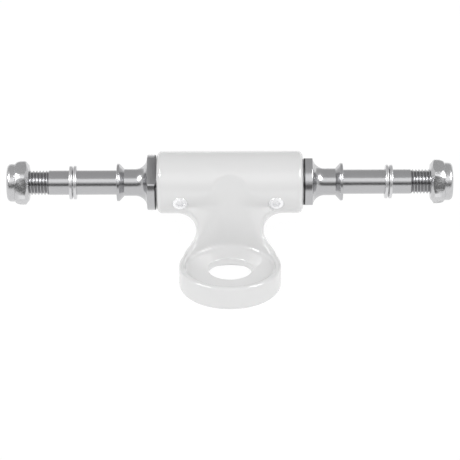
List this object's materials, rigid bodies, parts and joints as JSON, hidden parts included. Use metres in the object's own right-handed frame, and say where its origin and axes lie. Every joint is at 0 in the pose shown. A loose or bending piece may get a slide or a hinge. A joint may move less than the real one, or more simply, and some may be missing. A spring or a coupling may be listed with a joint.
{
  "type": "roller skate truck hanger",
  "caption": "White cast T-shaped skate truck hanger with a kingpin ring, a rear pivot pin, and removable plated axles with washers and lock nuts.",
  "frame": {"origin": "on the axis of the kingpin hole, in the middle of the web that the hole goes through", "axes": "+Z along the kingpin hole, out of the upper cushion seat; +X along the axles; +Y from the kingpin towards the axles and the pivot pin"},
  "size_m": [0.1456, 0.0665, 0.0349],
  "materials": {
    "powder_coat": "gloss white powder coat",
    "plated_steel": "plated, bright turned",
    "washer_steel": "plated, bright",
    "nut_steel": "plated, pressed",
    "nylon": "natural nylon",
    "screw_steel": "zinc plated",
    "pin_steel": "ground and plated"
  },
  "bodies": {
    "hanger": {"hanger_casting": "powder_coat", "pivot_pin": "pin_steel"},
    "left_axle": {"left_axle": "plated_steel"},
    "right_axle": {"right_axle": "plated_steel"},
    "left_inner_washer": {"left_inner_washer": "washer_steel"},
    "left_outer_washer": {"left_outer_washer": "washer_steel"},
    "right_inner_washer": {"right_inner_washer": "washer_steel"},
    "right_outer_washer": {"right_outer_washer": "washer_steel"},
    "left_nut_insert": {"left_nut_insert": "nylon"},
    "right_nut_insert": {"right_nut_insert": "nylon"},
    "left_lock_nut": {"left_lock_nut": "nut_steel"},
    "right_lock_nut": {"right_lock_nut": "nut_steel"},
    "left_grub_screw": {"left_grub_screw": "screw_steel"},
    "right_grub_screw": {"right_grub_screw": "screw_steel"}
  },
  "joints": [
    {"name": "left_axle_release", "type": "slide", "parent": "hanger", "child": "left_axle", "axis": [-1, 0, 0], "range_m": [0, 0.0155]},
    {"name": "left_inner_washer_slide", "type": "slide", "parent": "left_axle", "child": "left_inner_washer", "axis": [-1, 0, 0], "range_m": [-0.013, 0]},
    {"name": "left_outer_washer_slide", "type": "slide", "parent": "left_axle", "child": "left_outer_washer", "axis": [-1, 0, 0], "range_m": [0, 0.0075]},
    {"name": "left_nut_travel", "type": "slide", "parent": "left_axle", "child": "left_nut_insert", "axis": [-1, 0, 0], "range_m": [-0.005, 0.0075]},
    {"name": "left_nut_turn", "type": "hinge", "parent": "left_nut_insert", "child": "left_lock_nut", "pos_m": [-0.069, 0.025, 0.01972], "axis": [-1, 0, 0], "range_deg": [-1701, 2551]},
    {"name": "left_grub_screw_out", "type": "slide", "parent": "hanger", "child": "left_grub_screw", "axis": [0, -0.9511, -0.309], "range_m": [0, 0.0075]},
    {"name": "right_axle_release", "type": "slide", "parent": "hanger", "child": "right_axle", "axis": [1, 0, 0], "range_m": [0, 0.0155]},
    {"name": "right_inner_washer_slide", "type": "slide", "parent": "right_axle", "child": "right_inner_washer", "axis": [1, 0, 0], "range_m": [-0.0135, 0]},
    {"name": "right_outer_washer_slide", "type": "slide", "parent": "right_axle", "child": "right_outer_washer", "axis": [1, 0, 0], "range_m": [0, 0.007]},
    {"name": "right_nut_travel", "type": "slide", "parent": "right_axle", "child": "right_nut_insert", "axis": [1, 0, 0], "range_m": [-0.005, 0.0075]},
    {"name": "right_nut_turn", "type": "hinge", "parent": "right_nut_insert", "child": "right_lock_nut", "pos_m": [0.069, 0.025, 0.01972], "axis": [1, 0, 0], "range_deg": [-1701, 2551]},
    {"name": "right_grub_screw_out", "type": "slide", "parent": "hanger", "child": "right_grub_screw", "axis": [0, -0.9511, -0.309], "range_m": [0, 0.0075]}
  ],
  "couplings": [
    {"joint": "left_nut_turn", "follows": "left_nut_travel", "rad_per_m": 5938.7},
    {"joint": "right_nut_turn", "follows": "right_nut_travel", "rad_per_m": 5938.7}
  ]
}
